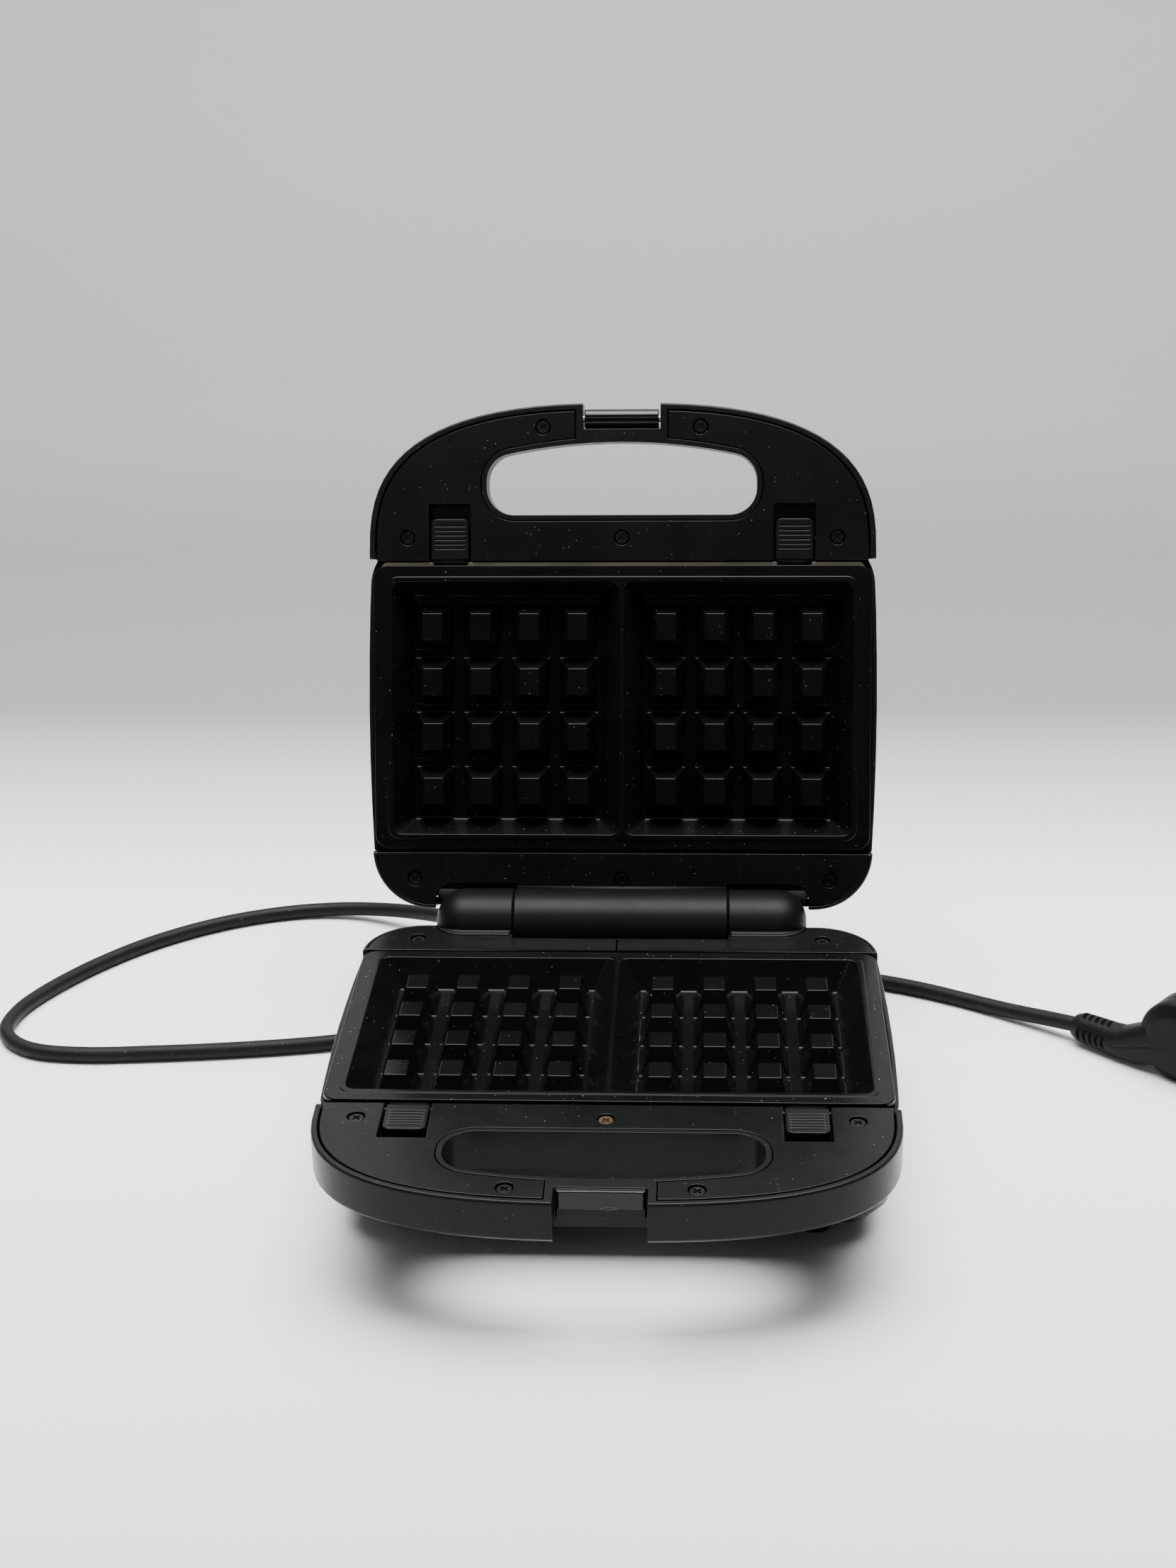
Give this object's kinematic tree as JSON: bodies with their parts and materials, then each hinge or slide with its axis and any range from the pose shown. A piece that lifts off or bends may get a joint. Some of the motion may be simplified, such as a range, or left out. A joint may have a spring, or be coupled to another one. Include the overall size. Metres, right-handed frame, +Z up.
{
  "type": "waffle maker",
  "caption": "Double waffle maker with hinged lid shown open, removable pyramid-grid plates, slide releases, folding latch and mains cord.",
  "frame": {"origin": "on the table under the middle of the box round the appliance with its lid open, cord left out", "axes": "+Z up, handle towards -Y, hinge towards +Y, +X to the right seen from the handle"},
  "size_m": [0.5502, 0.3545, 0.2734],
  "materials": {
    "casing_plastic": "satin black moulded plastic",
    "panel_plastic": "satin black moulded plastic",
    "button_plastic": "matt black moulded plastic with fine grain",
    "clip_plastic": "polished black plastic",
    "plate_coating": "glossy black non-stick coating on cast aluminium",
    "tray_sheet": "dull sheet",
    "heater_sheath": "heat-tinted steel tube",
    "screw_black": "blackened steel",
    "screw_brassy": "tarnished",
    "bright_steel": "plain",
    "foot_rubber": "matt",
    "ceramic_body": "unglazed steatite",
    "wire_sleeve": "heat-proof silicone sleeving",
    "cord_jacket": "matt black flexible jacket",
    "plug_plastic": "moulded black",
    "plug_metal": "nickel plated",
    "lens_red": "clear red",
    "lens_green": "clear green",
    "lamp_white": "natural nylon"
  },
  "bodies": {
    "base": {"base_cover": "casing_plastic", "base_front_shell": "casing_plastic", "base_rear_shell": "casing_plastic", "base_handle_panel": "panel_plastic", "base_hinge_panel": "panel_plastic", "base_reflector": "tray_sheet", "base_heater": "heater_sheath", "base_panel_screws": "screw_black", "base_centre_screw": "screw_brassy", "base_hinge_screws": "screw_black", "feet": "foot_rubber", "thermostat": "bright_steel", "thermal_fuse": "ceramic_body", "terminal_block": "ceramic_body", "base_wiring": "wire_sleeve", "hinge_pins": "bright_steel", "cord_clamp": "casing_plastic", "strain_relief": "cord_jacket", "power_cord": "cord_jacket", "plug_body": "plug_plastic", "plug_pins": "plug_metal", "base_spring_left": "bright_steel", "base_spring_right": "bright_steel"},
    "lid": {"lid_cover": "casing_plastic", "lid_front_shell": "casing_plastic", "lid_rear_shell": "casing_plastic", "lid_handle_panel": "panel_plastic", "lid_hinge_panel": "panel_plastic", "lid_reflector": "tray_sheet", "lid_heater": "heater_sheath", "lid_panel_screws": "screw_black", "lid_hinge_screws": "screw_black", "lid_wiring": "wire_sleeve", "lamp_lens_red": "lens_red", "lamp_lens_green": "lens_green", "lamp_housings": "lamp_white", "clip_pin": "bright_steel", "lid_spring_left": "bright_steel", "lid_spring_right": "bright_steel"},
    "clip": {"latch_clip": "clip_plastic"},
    "base_button_left": {"base_button_left": "button_plastic"},
    "base_button_right": {"base_button_right": "button_plastic"},
    "lid_button_left": {"lid_button_left": "button_plastic"},
    "lid_button_right": {"lid_button_right": "button_plastic"},
    "bottom_plate": {"base_plate": "plate_coating"},
    "top_plate": {"lid_plate": "plate_coating"}
  },
  "joints": [
    {"name": "lid_hinge", "type": "hinge", "parent": "base", "child": "lid", "pos_m": [0, 0.0668, 0.056], "axis": [-1, 0, 0], "range_deg": [-107.8, 0]},
    {"name": "clip_pivot", "type": "hinge", "parent": "lid", "child": "clip", "pos_m": [0, 0.14363, 0.26586], "axis": [-1, 0, 0], "range_deg": [-194, 0]},
    {"name": "base_button_left_slide", "type": "slide", "parent": "base", "child": "base_button_left", "axis": [0, -1, 0], "range_m": [0, 0.005], "stiffness_N_per_m": 300, "springref_m": -0.002, "deforming": ["base_spring_left"]},
    {"name": "base_button_right_slide", "type": "slide", "parent": "base", "child": "base_button_right", "axis": [0, -1, 0], "range_m": [0, 0.005], "stiffness_N_per_m": 300, "springref_m": -0.002, "deforming": ["base_spring_right"]},
    {"name": "lid_button_left_slide", "type": "slide", "parent": "lid", "child": "lid_button_left", "axis": [0, 0.3057, 0.9521], "range_m": [0, 0.005], "stiffness_N_per_m": 300, "springref_m": -0.002, "deforming": ["lid_spring_left"]},
    {"name": "lid_button_right_slide", "type": "slide", "parent": "lid", "child": "lid_button_right", "axis": [0, 0.3057, 0.9521], "range_m": [0, 0.005], "stiffness_N_per_m": 300, "springref_m": -0.002, "deforming": ["lid_spring_right"]},
    {"name": "bottom_plate_lift", "type": "slide", "parent": "base", "child": "bottom_plate", "axis": [0, 0, 1], "range_m": [0, 0.045]},
    {"name": "top_plate_lift", "type": "slide", "parent": "lid", "child": "top_plate", "axis": [0, -0.9521, 0.3057], "range_m": [0, 0.04]}
  ]
}
